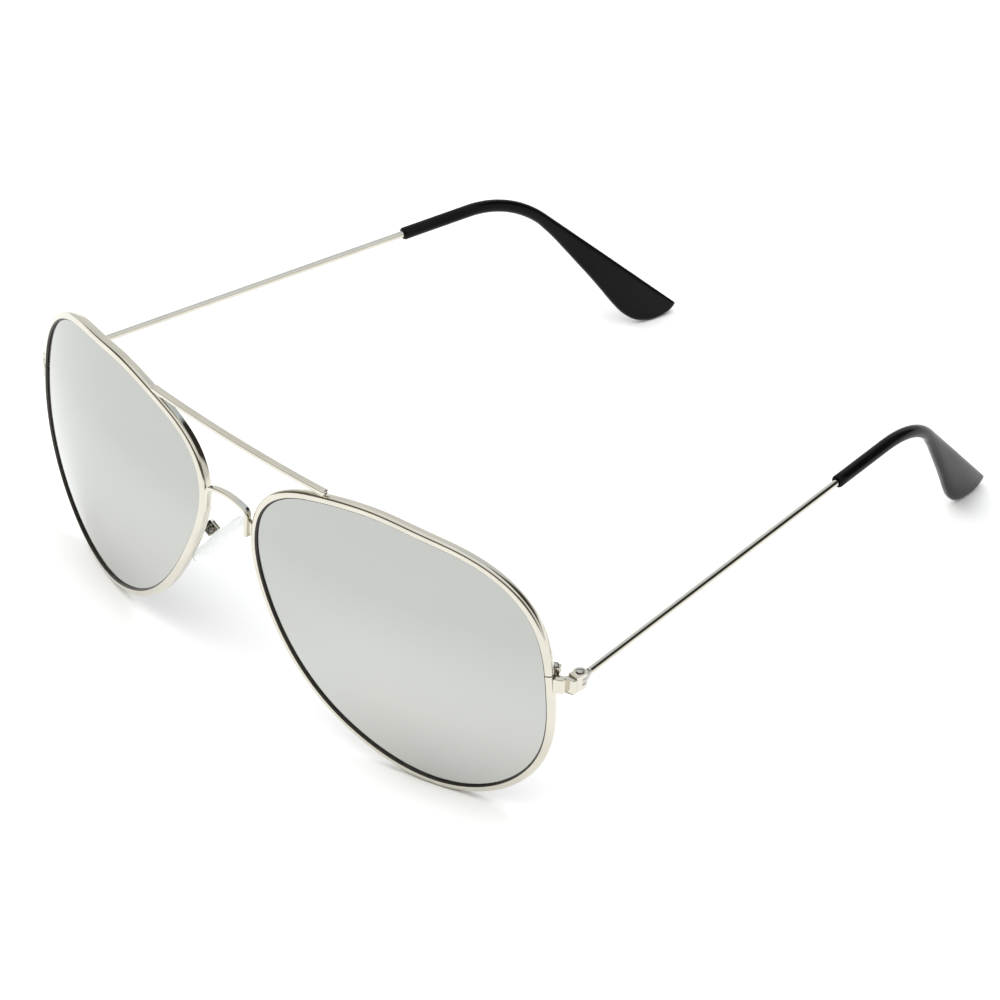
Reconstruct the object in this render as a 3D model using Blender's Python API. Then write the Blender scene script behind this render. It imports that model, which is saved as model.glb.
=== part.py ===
"""Aviator sunglasses with wire rims, a brow bar, rocking nose pads and folding wire temples.

The design is in millimetres, measured from between the lenses at the table, and becomes metres
when a mesh is made. The fronts of the lenses face -Y, the temples run back along +Y, +Z is up,
and the glasses stand on their rims and tips. Every piece that comes in a pair is drawn for the
wearer's left side, +X, and mirrored for the right side.
"""
import math

import bmesh
import bpy
import numpy as np
from mathutils import Matrix, Vector

MM = 0.001
FOOTPRINT_MIDDLE = Vector((0, 68.9, 0))     # the model's origin, in the design's frame

# Lens and rim
LENS_HALF_SPACING = 38.0      # from the middle of the bridge to each lens's optical centre
LENS_HEIGHT = 28.4            # optical centre above the table
LENS_SPHERE = 108.5           # radius of the lens's front surface
LENS_THICKNESS = 1.3
WRAP = math.radians(14.6)     # each lens is turned back this much at its outer side
TILT = math.radians(0.4)      # the tops of the lenses lean forward
OUTLINE_CENTRE = (-1.0, -1.0)
OUTLINE_RADII = (28.0, 27.8, 24.9, 22.1, 22.8, 26.5, 31.5, 27.4, 23.8, 22.8, 23.8, 26.7, 29.2, 29.6)
OUTLINE_STEPS = 60
RIM_WIDTH = 1.5
RIM_DEPTH = 1.8
RIM_EDGE = 0.22               # rounding of the rim wire's edges
GROOVE_DEPTH = 0.42
SEAT_GAP = 0.11               # between the lens's edge and the rim's groove
SPLIT_HEIGHT = 30.5           # where the rim wire is open, above the table
SPLIT_GAP = 0.2

# Bridges
BAR_HALF_LENGTH = 21.4
BAR_TOP = 50.85               # at its ends, which rest on the rims
BAR_SAG = 0.4                 # the middle is this much lower
BAR_BOW = 0.3                 # and this much further forward
BAR_HEIGHT = 0.8
BAR_DEPTH = 1.4
BAR_FRONT = -1.3
BRIDGE_THICKNESS = 0.75
BRIDGE_DEPTH = 1.25
BRIDGE_ROUTE = ((5.0, 35.0), (5.0, 36.8), (4.98, 38.4), (4.75, 39.3), (4.1, 39.78), (2.4, 40.2), (0.0, 40.42))
BRIDGE_FRONT = -3.75          # at the feet of its legs
BRIDGE_LEAN = 0.3 / 5.6       # how far it leans back for each millimetre up, as the rims do
STRIP_EDGE = 0.15             # rounding of both strips' edges

# Endpiece and hinge
HINGE = Vector((66.1, 15.3, 29.3))
BARREL_RADIUS = 1.2
BARREL_BORE = 0.58
BARREL_HEIGHTS = (0.85, 0.95, 0.85)
BARREL_GAP = 0.1
HINGE_LEAF = 1.75             # from the hinge's axis to the front of its leaf
HINGE_SCREW_RADIUS = 0.5
ENDPIECE_BOTTOM = 27.6
ENDPIECE_TOP = 30.4
ENDPIECE_REACH = 1.9          # along the front, from the rim to the bend
SOLDER_GAP = 0.1
LOCK_SCREW_RADIUS = 0.28
LOCK_BORE = 0.38
LOCK_UPPER = 0.75
LOCK_LOWER = 1.5

# Temples, in the temple's own plane: along the wire and across it
TEMPLE_DIRECTION = Vector((-0.1604, 1.0, 0.0256)).normalized()
TEMPLE_LEAN = 0.21            # the bent-down tip leans towards the head
WIRE_RADIUS = 0.62
WIRE_START = 2.3
SLEEVE_START = 72.2
SLEEVE_RADIUS = 1.15
SLEEVE_BORE = 0.74
BEND_START = 86.4
BEND_RADIUS = 21.5
BEND_ANGLE = math.radians(45.4)
PADDLE_STATIONS = ((0.0, 2.3, 2.3), (4.0, 2.75, 2.3), (8.0, 3.45, 2.25), (12.0, 4.2, 2.2), (16.0, 4.95, 2.2),
                   (20.0, 5.8, 2.2), (24.0, 6.7, 2.2), (27.5, 7.2, 2.2), (30.5, 6.85, 2.1), (33.0, 5.55, 1.9),
                   (34.8, 3.9, 1.7), (35.9, 2.3, 1.4), (36.4, 1.1, 0.9))
CORE_INTO_PADDLE = 16.0
TUBE_SIDES = 16

# Nose pads
PAD_CENTRE = Vector((9.1, 3.17, 24.65))
PAD_LONG = Vector((-0.41, 0.62, 0.67)).normalized()
PAD_FACE = Vector((-0.76, 0.15, -0.63))
PAD_RINGS = ((-2.8, 0.75, 0.42), (-1.1, 0.75, 0.42), (-1.0, 4.2, 2.2), (-0.75, 5.4, 3.0), (-0.1, 6.0, 3.5),
             (0.5, 5.7, 3.25), (0.9, 4.4, 2.4), (1.05, 2.4, 1.3))
PAD_SIDES = 24
PAD_AXIS_BACK = 2.0          # the pad screw's axis, behind the pad's middle
PAD_BOX_WALL = 0.4
PAD_BOX_INSIDE = 1.1
PAD_BOX_LENGTH = 2.0
PAD_SCREW_RADIUS = 0.25
PAD_BORE = 0.34
ARM_RADIUS = 0.42
ARM_START = Vector((10.68, -1.35, 25.37))           # on the back of the rim
ARM_START_HANDLE = Vector((1.76, 2.02, 1.01))
ARM_END_HANDLE = 1.48
ARM_END_BACK = 1.6            # behind the pad screw's axis


def clear_scene():
    for item in list(bpy.data.objects):
        bpy.data.objects.remove(item, do_unlink=True)


def material(name, colour, roughness, metallic, alpha=1.0):
    made = bpy.data.materials.new(name)
    made.use_nodes = True
    shader = made.node_tree.nodes["Principled BSDF"]
    shader.inputs["Base Color"].default_value = (*colour, 1.0)
    shader.inputs["Roughness"].default_value = roughness
    shader.inputs["Metallic"].default_value = metallic
    shader.inputs["Alpha"].default_value = alpha
    return made


# Placing

def side_name(side, name):
    return ("left_" if side > 0 else "right_") + name


def placed(point, side):
    """A design point in metres, from the middle of the glasses' footprint."""
    return (Vector((point[0] * side, point[1], point[2])) - FOOTPRINT_MIDDLE) * MM


def axis_empty(name, place, side):
    empty = bpy.data.objects.new(name, None)
    empty.location = placed(place, side)
    empty.empty_display_size = 0.004
    bpy.context.scene.collection.objects.link(empty)
    return empty


def add_part(name, shape, finish, side=1, parent=None):
    """Makes an object from (points, faces) in millimetres, mirrored to -X when side is -1."""
    points, faces = shape
    origin = parent.location.copy() if parent else Vector((0, 0, 0))
    mesh = bpy.data.meshes.new(name)
    places = [placed(p, side) - origin for p in points]
    mesh.from_pydata(places, [], faces)
    clean = bmesh.new()
    clean.from_mesh(mesh)
    bmesh.ops.recalc_face_normals(clean, faces=clean.faces)
    clean.to_mesh(mesh)
    clean.free()
    mesh.shade_smooth()
    mesh.set_sharp_from_angle(angle=math.radians(35))
    mesh.materials.append(finish)
    made = bpy.data.objects.new(name, mesh)
    bpy.context.scene.collection.objects.link(made)
    if parent:
        made.parent = parent
    return made


def cut(target, name, shape, side):
    """Cuts a shape away from a piece with a hidden cutter, which two pieces may share."""
    cutter = bpy.data.objects.get(name)
    if cutter is None:
        cutter = add_part(name, shape, target.data.materials[0], side)
        cutter.hide_render = True
        cutter.display_type = "WIRE"
    boolean = target.modifiers.new(name, "BOOLEAN")
    boolean.operation = "DIFFERENCE"
    boolean.object = cutter
    boolean.solver = "EXACT"


# Shapes

def loft(rings, closed=False):
    """Joins rings of equally many points; the ends are capped unless the loft is closed."""
    count = len(rings[0])
    points = [p for ring in rings for p in ring]
    faces = []
    spans = len(rings) if closed else len(rings) - 1
    for i in range(spans):
        here = i * count
        there = (i + 1) % len(rings) * count
        for k in range(count):
            after = (k + 1) % count
            faces.append((here + k, here + after, there + after, there + k))
    if not closed:
        faces.append(tuple(range(count)))
        faces.append(tuple(range(len(points) - count, len(points))))
    return points, faces


def prism(plan, bottom, top):
    """Extrudes a plan outline straight up."""
    rings = [[Vector((x, y, z)) for x, y in plan] for z in (bottom, top)]
    return loft(rings)


def circle(centre, first, second, radius, count):
    ring = []
    for i in range(count):
        angle = 2 * math.pi * (i + 0.5) / count
        ring.append(centre + first * (radius * math.cos(angle)) + second * (radius * math.sin(angle)))
    return ring


def rod(start, end, radius, count=TUBE_SIDES, head=None):
    """A round bar, with an optional (radius, height) head on its end."""
    along = (end - start).normalized()
    first = along.orthogonal().normalized()
    second = along.cross(first)
    rings = [circle(start, first, second, radius, count), circle(end, first, second, radius, count)]
    if head:
        head_radius, head_height = head
        rings.append(circle(end, first, second, head_radius, count))
        rings.append(circle(end + along * (head_height * 0.6), first, second, head_radius, count))
        rings.append(circle(end + along * head_height, first, second, head_radius * 0.72, count))
    return loft(rings)


def rounded_section(centre, across, up, width, height, edge):
    """A rectangle with chamfered edges, as eight points."""
    half_w = width / 2
    half_h = height / 2
    corners = ((half_w, half_h - edge), (half_w - edge, half_h), (edge - half_w, half_h), (-half_w, half_h - edge),
               (-half_w, edge - half_h), (edge - half_w, -half_h), (half_w - edge, -half_h), (half_w, edge - half_h))
    return [centre + across * x + up * y for x, y in corners]


# Lens outline and the dished front

def outline_bends():
    """Second derivatives of the closed cubic spline through the outline's radii."""
    count = len(OUTLINE_RADII)
    step = 2 * math.pi / count
    radii = np.array(OUTLINE_RADII)
    system = 4 * np.eye(count) + np.roll(np.eye(count), 1, 0) + np.roll(np.eye(count), -1, 0)
    change = np.roll(radii, -1) - 2 * radii + np.roll(radii, 1)
    return np.linalg.solve(system, 6 * change / step ** 2)


OUTLINE_BENDS = outline_bends()


def outline_radius(angle):
    count = len(OUTLINE_RADII)
    step = 2 * math.pi / count
    place = (angle / step) % count
    i = int(place) % count
    j = (i + 1) % count
    t = place - int(place)
    radius = (1 - t) * OUTLINE_RADII[i] + t * OUTLINE_RADII[j]
    bend = ((1 - t) ** 3 - (1 - t)) * OUTLINE_BENDS[i] + (t ** 3 - t) * OUTLINE_BENDS[j]
    return radius + bend * step ** 2 / 6


def outline_point(angle, offset=0.0):
    """A point of the lens's outline, moved outwards by the offset."""
    def at(turn):
        radius = outline_radius(turn)
        return Vector((radius * math.cos(turn), radius * math.sin(turn)))
    ahead = at(angle + 0.01) - at(angle - 0.01)
    outward = Vector((ahead.y, -ahead.x)).normalized()
    point = at(angle) + outward * offset
    return Vector((point.x + OUTLINE_CENTRE[0], point.y + OUTLINE_CENTRE[1]))


LENS_AXES = Matrix.Rotation(TILT, 3, "X") @ Matrix((
    (math.cos(WRAP), 0, math.sin(WRAP)),
    (math.sin(WRAP), 0, -math.cos(WRAP)),
    (0, 1, 0)))
LENS_PLACE = Vector((LENS_HALF_SPACING, 0, LENS_HEIGHT))


def dished(flat, depth):
    """Puts a flat point on the lens's sphere; depth is measured forwards from that surface."""
    root = math.sqrt(LENS_SPHERE ** 2 - flat.x ** 2 - flat.y ** 2)
    normal = Vector((flat.x, flat.y, root)) / LENS_SPHERE
    local = Vector((flat.x, flat.y, root - LENS_SPHERE)) + normal * depth
    return LENS_PLACE + LENS_AXES @ local


def rim_ring(angle):
    back = -RIM_DEPTH
    edge = RIM_EDGE
    middle = back / 2
    profile = ((0.0, -edge), (edge, 0.0), (RIM_WIDTH - edge, 0.0), (RIM_WIDTH, -edge),
               (RIM_WIDTH, back + edge), (RIM_WIDTH - edge, back), (edge, back), (0.0, back + edge),
               (0.0, middle - GROOVE_DEPTH), (GROOVE_DEPTH, middle), (0.0, middle + GROOVE_DEPTH))
    return [dished(outline_point(angle, out), depth) for out, depth in profile]


def rim_angle(height):
    """The outline angle where the lens's outer edge reaches a height above the table."""
    low, high = -0.5, 0.5
    for _ in range(30):
        middle = (low + high) / 2
        if dished(outline_point(middle), 0.0).z < height:
            low = middle
        else:
            high = middle
    return low


SPLIT_ANGLE = rim_angle(SPLIT_HEIGHT)


def outline_turns(inset=0.0):
    """Angles all the way round from the split; an inset leaves the split open."""
    return [SPLIT_ANGLE + inset + (2 * math.pi - 2 * inset) * i / OUTLINE_STEPS for i in range(OUTLINE_STEPS + 1)]


def rim_shape():
    inset = SPLIT_GAP / 2 / outline_radius(SPLIT_ANGLE)
    return loft([rim_ring(angle) for angle in outline_turns(inset)])


def lens_shape():
    front = (LENS_THICKNESS - RIM_DEPTH) / 2
    back = front - LENS_THICKNESS
    middle = -RIM_DEPTH / 2
    flank = GROOVE_DEPTH - SEAT_GAP
    edge = ((-SEAT_GAP, front), (-SEAT_GAP, middle + flank), (GROOVE_DEPTH - 1.4 * SEAT_GAP, middle),
            (-SEAT_GAP, middle - flank), (-SEAT_GAP, back))
    turns = outline_turns()[:-1]
    centre = Vector(OUTLINE_CENTRE)

    def inner_ring(share, depth):
        return [dished(centre + (outline_point(a, -SEAT_GAP) - centre) * share, depth) for a in turns]
    rings = [inner_ring(share, front) for share in (0.06, 0.4, 0.72)]
    rings += [[dished(outline_point(a, out), depth) for a in turns] for out, depth in edge]
    rings += [inner_ring(share, back) for share in (0.72, 0.4, 0.06)]
    return loft(rings)


# Bridges

def brow_bar_shape():
    across = Vector((0, 1, 0))
    up = Vector((0, 0, 1))
    rings = []
    steps = 9     # an odd number leaves a level facet in the middle
    for i in range(steps + 1):
        share = 2 * i / steps - 1
        bow = 1 - share ** 2
        centre = Vector((BAR_HALF_LENGTH * share, BAR_FRONT + BAR_DEPTH / 2 - BAR_BOW * bow,
                         BAR_TOP - BAR_HEIGHT / 2 - BAR_SAG * bow))
        rings.append(rounded_section(centre, across, up, BAR_DEPTH, BAR_HEIGHT, STRIP_EDGE))
    return loft(rings)


def bridge_shape():
    """A flat strip that arches between the rims and turns down along their inner sides."""
    half = [Vector((x, 0, z)) for x, z in BRIDGE_ROUTE]
    route = half + [Vector((-p.x, 0, p.z)) for p in reversed(half[:-1])]
    rings = []
    for i, place in enumerate(route):
        ahead = route[min(i + 1, len(route) - 1)] - route[max(i - 1, 0)]
        across = Vector((0, 1, 0))
        outward = ahead.normalized().cross(across)
        front = BRIDGE_FRONT + BRIDGE_LEAN * (place.z - route[0].z)
        centre = place + across * (front + BRIDGE_DEPTH / 2)
        rings.append(rounded_section(centre, across, outward, BRIDGE_DEPTH, BRIDGE_THICKNESS, STRIP_EDGE))
    return loft(rings)


# Endpiece, closing block and hinge

LOCK_POINT = dished(outline_point(SPLIT_ANGLE), 0.0)
LOCK_OUT = (dished(outline_point(SPLIT_ANGLE, 1.0), 0.0) - LOCK_POINT).normalized()
LOCK_OUT.z = 0
LOCK_BACK = Vector((-LOCK_OUT.y, LOCK_OUT.x, 0))


def lock_plan():
    near = RIM_DEPTH + SOLDER_GAP
    corners = ((0.3, near), (2.1, near), (2.1, near + 1.5), (0.3, near + 1.5))
    return [(LOCK_POINT + LOCK_OUT * out + LOCK_BACK * back).to_2d() for out, back in corners]


LOCK_AXIS = LOCK_POINT + LOCK_OUT * 1.2 + LOCK_BACK * (RIM_DEPTH + SOLDER_GAP + 0.75)
UP = Vector((0, 0, 1))


def at_height(place, height):
    return Vector((place.x, place.y, height))


def endpiece_plan():
    """Out along the front from the rim, round the corner and back to the hinge."""
    widest = dished(outline_point(rim_angle(ENDPIECE_BOTTOM)), 0.0)
    rim_side = widest + LOCK_OUT * (RIM_WIDTH + SOLDER_GAP)
    leaf = HINGE.y - HINGE_LEAF - SOLDER_GAP
    corner = rim_side + LOCK_OUT * ENDPIECE_REACH
    return [(rim_side.x, rim_side.y), (corner.x, corner.y), (corner.x + 0.45, corner.y + 0.5),
            (HINGE.x + 1.2, leaf - 0.3), (HINGE.x + 1.2, leaf), (HINGE.x - 0.9, leaf),
            (HINGE.x - 1.0, leaf - 0.5), (rim_side + LOCK_BACK * 1.3).to_2d()]


def barrel_levels():
    """Bottom and top of the lower, middle and upper barrel."""
    middle_half = BARREL_HEIGHTS[1] / 2
    low_top = HINGE.z - middle_half - BARREL_GAP
    high_bottom = HINGE.z + middle_half + BARREL_GAP
    return ((low_top - BARREL_HEIGHTS[0], low_top), (HINGE.z - middle_half, HINGE.z + middle_half),
            (high_bottom, high_bottom + BARREL_HEIGHTS[2]))


def barrel_plan(corner_points, start, end):
    """Part of the barrel's circle, from one angle to another, closed through corner points."""
    plan = []
    steps = 14
    for i in range(steps + 1):
        angle = math.radians(start + (end - start) * i / steps)
        plan.append((HINGE.x + BARREL_RADIUS * math.cos(angle), HINGE.y + BARREL_RADIUS * math.sin(angle)))
    return plan + list(corner_points)


def front_hinge_shape():
    low, _, high = barrel_levels()
    leaf = HINGE.y - HINGE_LEAF
    corners = ((HINGE.x - 0.9, leaf), (HINGE.x + 1.2, leaf))
    return prism(barrel_plan(corners, 0, 225), low[0], high[1])


def temple_hinge_shape():
    _, middle, _ = barrel_levels()
    reach = HINGE.y + WIRE_START - 0.12
    centre_x = HINGE.x + TEMPLE_DIRECTION.x * WIRE_START
    corners = ((centre_x + 0.65, reach), (centre_x - 0.65, reach))
    outline = barrel_plan(corners, 135, 405)
    return prism(outline, *middle)


def hinge_bore_shape():
    low, _, high = barrel_levels()
    return rod(at_height(HINGE, low[0] - 1), at_height(HINGE, high[1] + 1), BARREL_BORE)


def hinge_slot_shape():
    low, _, high = barrel_levels()
    return rod(at_height(HINGE, low[1]), at_height(HINGE, high[0]), BARREL_RADIUS + BARREL_GAP, 24)


# Temples

def temple_axes():
    up = Vector((TEMPLE_LEAN, 0, 1))
    up = (up - TEMPLE_DIRECTION * up.dot(TEMPLE_DIRECTION)).normalized()
    return TEMPLE_DIRECTION, up, TEMPLE_DIRECTION.cross(up)


def spine(distance):
    """Centre of the temple's wire and its direction, that far along from the hinge."""
    along, up, _ = temple_axes()
    run = min(distance, BEND_START)
    place = HINGE + along * run
    turn = min(max(distance - BEND_START, 0) / BEND_RADIUS, BEND_ANGLE)
    place = place + along * (BEND_RADIUS * math.sin(turn)) - up * (BEND_RADIUS * (1 - math.cos(turn)))
    heading = along * math.cos(turn) - up * math.sin(turn)
    past = max(distance - BEND_START - BEND_RADIUS * BEND_ANGLE, 0)
    return place + heading * past, heading


PADDLE_START = BEND_START + BEND_RADIUS * BEND_ANGLE


def bend_stations(steps=6):
    return [BEND_START + (PADDLE_START - BEND_START) * i / steps for i in range(steps + 1)]


def spine_circle(distance, radius):
    _, _, sideways = temple_axes()
    place, heading = spine(distance)
    return circle(place, sideways, sideways.cross(heading), radius, TUBE_SIDES)


def wire_shape():
    core_end = PADDLE_START + CORE_INTO_PADDLE
    stations = [WIRE_START, SLEEVE_START] + bend_stations() + [core_end]
    return loft([spine_circle(s, WIRE_RADIUS) for s in stations])


def paddle_ring(past, width, thickness):
    """A section of the tip whose top edge is straight and whose lower edge flares."""
    _, _, sideways = temple_axes()
    place, heading = spine(PADDLE_START + past)
    upward = sideways.cross(heading)
    centre = place + upward * (SLEEVE_RADIUS - width / 2)
    squareness = 1.0 - 0.45 * min(past / 16.0, 1.0)
    ring = []
    for i in range(TUBE_SIDES):
        angle = 2 * math.pi * (i + 0.5) / TUBE_SIDES
        c, s = math.cos(angle), math.sin(angle)
        x = math.copysign(abs(c) ** squareness, c) * thickness / 2
        y = math.copysign(abs(s) ** squareness, s) * width / 2
        ring.append(centre + sideways * x + upward * y)
    return ring


def tip_shape():
    bore_end = PADDLE_START + CORE_INTO_PADDLE + 0.3
    outer = [spine_circle(SLEEVE_START, SLEEVE_RADIUS - 0.2), spine_circle(SLEEVE_START + 0.25, SLEEVE_RADIUS)]
    outer += [spine_circle(s, SLEEVE_RADIUS) for s in bend_stations()[:-1]]
    outer += [paddle_ring(*station) for station in PADDLE_STATIONS]
    bore = [spine_circle(s, SLEEVE_BORE) for s in [SLEEVE_START] + bend_stations() + [bore_end]]
    return loft(list(reversed(outer)) + bore)


# Nose pads

PAD_NORMAL = (PAD_FACE - PAD_LONG * PAD_FACE.dot(PAD_LONG)).normalized()
PAD_ACROSS = PAD_LONG.cross(PAD_NORMAL)
PAD_AXIS = PAD_CENTRE - PAD_NORMAL * PAD_AXIS_BACK


def pad_shape():
    rings = []
    for depth, half_length, half_width in PAD_RINGS:
        ring = []
        for i in range(PAD_SIDES):
            angle = 2 * math.pi * i / PAD_SIDES
            taper = 1.0 - 0.12 * math.cos(angle) if half_length > 1 else 1.0
            along = PAD_LONG * (half_length * math.cos(angle))
            ring.append(PAD_CENTRE + PAD_NORMAL * depth + along + PAD_ACROSS * (half_width * taper * math.sin(angle)))
        rings.append(ring)
    return loft(rings)


def pad_box_shape():
    """A channel that holds the pad's lug, open towards the pad."""
    inside = PAD_BOX_INSIDE / 2
    outside = inside + PAD_BOX_WALL
    section = ((outside, 0.7), (inside, 0.7), (inside, -1.0), (-inside, -1.0),
               (-inside, 0.7), (-outside, 0.7), (-outside, -1.45), (outside, -1.45))
    rings = []
    for along in (-PAD_BOX_LENGTH / 2, PAD_BOX_LENGTH / 2):
        start = PAD_AXIS + PAD_LONG * along
        rings.append([start + PAD_ACROSS * x + PAD_NORMAL * y for x, y in section])
    return loft(rings)


def pad_pin(half_length, radius):
    return rod(PAD_AXIS - PAD_ACROSS * half_length, PAD_AXIS + PAD_ACROSS * half_length, radius, 12)


def arm_shape():
    """A bent wire from the rim's back to the pad box."""
    start = ARM_START
    end = PAD_AXIS - PAD_NORMAL * ARM_END_BACK
    handle_start = start + ARM_START_HANDLE
    handle_end = end - PAD_NORMAL * ARM_END_HANDLE
    rings = []
    steps = 12
    for i in range(steps + 1):
        t = i / steps
        place = (start * (1 - t) ** 3 + handle_start * (3 * t * (1 - t) ** 2)
                 + handle_end * (3 * t ** 2 * (1 - t)) + end * t ** 3)
        heading = ((handle_start - start) * (1 - t) ** 2 + (handle_end - handle_start) * (2 * t * (1 - t))
                   + (end - handle_end) * t ** 2).normalized()
        first = Vector((0, 0, 1)).cross(heading).normalized()
        rings.append(circle(place, first, heading.cross(first), ARM_RADIUS, 10))
    return loft(rings)


def build_side(side, metal, dark_metal, mirror, plastic, silicone):
    def fixed(name, shape, finish=metal):
        return add_part(side_name(side, name), shape, finish, side)

    fixed("rim", rim_shape())
    fixed("lens", lens_shape(), mirror)

    upper = fixed("rim_lock_upper", prism(lock_plan(), SPLIT_HEIGHT + SPLIT_GAP / 2, SPLIT_HEIGHT + LOCK_UPPER))
    lower = fixed("rim_lock_lower", prism(lock_plan(), SPLIT_HEIGHT - LOCK_LOWER, SPLIT_HEIGHT - SPLIT_GAP / 2))
    lock_low = at_height(LOCK_AXIS, SPLIT_HEIGHT - LOCK_LOWER - 0.1)
    lock_bore = rod(lock_low - UP, at_height(LOCK_AXIS, SPLIT_HEIGHT + LOCK_UPPER + 1), LOCK_BORE, 12)
    for block in (upper, lower):
        cut(block, side_name(side, "lock_bore_cutter"), lock_bore, side)
    lock_high = at_height(LOCK_AXIS, SPLIT_HEIGHT + LOCK_UPPER + 0.1)
    fixed("rim_lock_screw", rod(lock_low, lock_high, LOCK_SCREW_RADIUS, 12, head=(0.62, 0.4)), dark_metal)

    fixed("endpiece", prism(endpiece_plan(), ENDPIECE_BOTTOM, ENDPIECE_TOP))
    low, _, high = barrel_levels()
    front_hinge = fixed("front_hinge", front_hinge_shape())
    cut(front_hinge, side_name(side, "hinge_slot_cutter"), hinge_slot_shape(), side)
    cut(front_hinge, side_name(side, "hinge_bore_cutter"), hinge_bore_shape(), side)
    screw = rod(at_height(HINGE, low[0] + 0.05), at_height(HINGE, high[1] + 0.1), HINGE_SCREW_RADIUS,
                head=(0.75, 0.25))
    fixed("hinge_screw", screw, dark_metal)

    temple_axis = axis_empty(side_name(side, "temple_axis"), HINGE, side)
    temple_hinge = add_part(side_name(side, "temple_hinge"), temple_hinge_shape(), metal, side, temple_axis)
    cut(temple_hinge, side_name(side, "hinge_bore_cutter"), None, side)
    add_part(side_name(side, "temple_wire"), wire_shape(), metal, side, temple_axis)
    add_part(side_name(side, "temple_tip"), tip_shape(), plastic, side, temple_axis)

    fixed("pad_arm", arm_shape())
    pad_box = fixed("pad_box", pad_box_shape())
    cut(pad_box, side_name(side, "pad_bore_cutter"), pad_pin(2.5, PAD_BORE), side)
    fixed("pad_screw", pad_pin(PAD_BOX_INSIDE / 2 + PAD_BOX_WALL, PAD_SCREW_RADIUS), dark_metal)
    pad_axis = axis_empty(side_name(side, "pad_axis"), PAD_AXIS, side)
    pad = add_part(side_name(side, "nose_pad"), pad_shape(), silicone, side, pad_axis)
    cut(pad, side_name(side, "pad_bore_cutter"), None, side)


def build():
    clear_scene()
    metal = material("champagne_silver", (0.80, 0.77, 0.70), 0.18, 1.0)
    dark_metal = material("screw_steel", (0.55, 0.54, 0.50), 0.3, 1.0)
    mirror = material("mirror_lens", (0.62, 0.64, 0.62), 0.05, 1.0)
    plastic = material("black_tip_plastic", (0.012, 0.012, 0.012), 0.2, 0.0)
    silicone = material("clear_silicone", (0.88, 0.90, 0.89), 0.35, 0.0, 0.7)
    for side in (1, -1):
        build_side(side, metal, dark_metal, mirror, plastic, silicone)
    add_part("brow_bar", brow_bar_shape(), metal)
    add_part("bridge", bridge_shape(), metal)
    bpy.context.view_layer.update()


build()
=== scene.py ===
import math

import bmesh
import bpy
import numpy as np
from mathutils import Matrix, Vector


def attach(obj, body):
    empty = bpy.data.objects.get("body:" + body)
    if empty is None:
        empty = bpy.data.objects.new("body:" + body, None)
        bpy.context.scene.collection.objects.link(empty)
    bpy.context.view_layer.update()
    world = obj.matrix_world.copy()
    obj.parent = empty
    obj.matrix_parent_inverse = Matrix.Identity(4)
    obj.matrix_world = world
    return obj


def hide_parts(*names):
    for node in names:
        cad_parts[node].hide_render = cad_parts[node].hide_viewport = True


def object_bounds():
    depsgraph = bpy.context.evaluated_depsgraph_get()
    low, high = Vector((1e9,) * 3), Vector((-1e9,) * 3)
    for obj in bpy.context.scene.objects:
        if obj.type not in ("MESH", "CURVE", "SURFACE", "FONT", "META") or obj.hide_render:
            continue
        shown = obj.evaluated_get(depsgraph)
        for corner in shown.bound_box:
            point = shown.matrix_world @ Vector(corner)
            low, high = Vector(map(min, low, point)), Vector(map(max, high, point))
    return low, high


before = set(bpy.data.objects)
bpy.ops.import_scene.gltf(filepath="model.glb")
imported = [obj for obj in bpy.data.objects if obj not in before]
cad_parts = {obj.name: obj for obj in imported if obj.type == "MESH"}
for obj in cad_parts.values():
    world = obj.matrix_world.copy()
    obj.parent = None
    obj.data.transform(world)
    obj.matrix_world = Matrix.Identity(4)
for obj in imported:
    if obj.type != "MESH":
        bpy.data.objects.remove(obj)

CAD_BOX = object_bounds()

# Everything below is drawn in millimetres from between the lenses at the table, as the CAD part
# is, for the wearer's left side (+X), and mirrored for the right side. The front faces -Y.
MM = 0.001
FOOTPRINT_MIDDLE = Vector((0, 68.9, 0))
LEFT = Vector((1, 0, 0))
BACK = Vector((0, 1, 0))
UP = Vector((0, 0, 1))

# Degrees at which an edge stops being shaded smooth.
SHARP = 38
RIM_SHARP = 30
SCREW_SHARP = 35
PLATE_SHARP = 50
ROUND_SHARP = 60

# The outline of a lens is a smooth closed curve through the ends of evenly turned radii.
OUTLINE_CENTRE = Vector((-1.0, -1.0))
OUTLINE_RADII = (28.0, 27.8, 24.9, 22.1, 22.8, 26.5, 31.5,
                 27.4, 23.8, 22.8, 23.8, 26.7, 29.2, 29.6)
OUTLINE_STEPS = 260
LENS_PLACE = Vector((38.0, 0, 28.4))
LENS_WRAP = math.radians(14.6)
LENS_TILT = math.radians(0.4)
LENS_SPHERE = 108.5
LENS_THICKNESS = 1.3
LENS_RECESS = 0.46            # mirrored face behind the rim's lip
LENS_INSET = 0.02             # edge of the mirrored face inside the outline
LENS_CHAMFER = 0.08
LENS_SHARES = (*(0.1 * i for i in range(1, 10)), 0.96)

RIM_WIDTH = 1.5
RIM_DEPTH = 1.8
RIM_EDGE = 0.3                # rounding of the rim wire's back edges
RIM_SHOULDER = 0.62           # rounding of its outer front edge
RIM_CORNER_STEPS = 6
LIP_WIDTH = 0.24              # of the bevel round the lens, near-black as painted shade
LIP_EDGE = 0.06
GROOVE_DEPTH = 0.42
GROOVE_LIP = 0.1              # front of the groove before the mirrored face
SEAT_GAP = 0.11
SPLIT_HEIGHT = 30.5
SPLIT_GAP = 0.2
PAINTED_SHADE_FACES = 3               # of the rim's section painted near-black as shade: the bevel and the groove's two flanks

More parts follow.
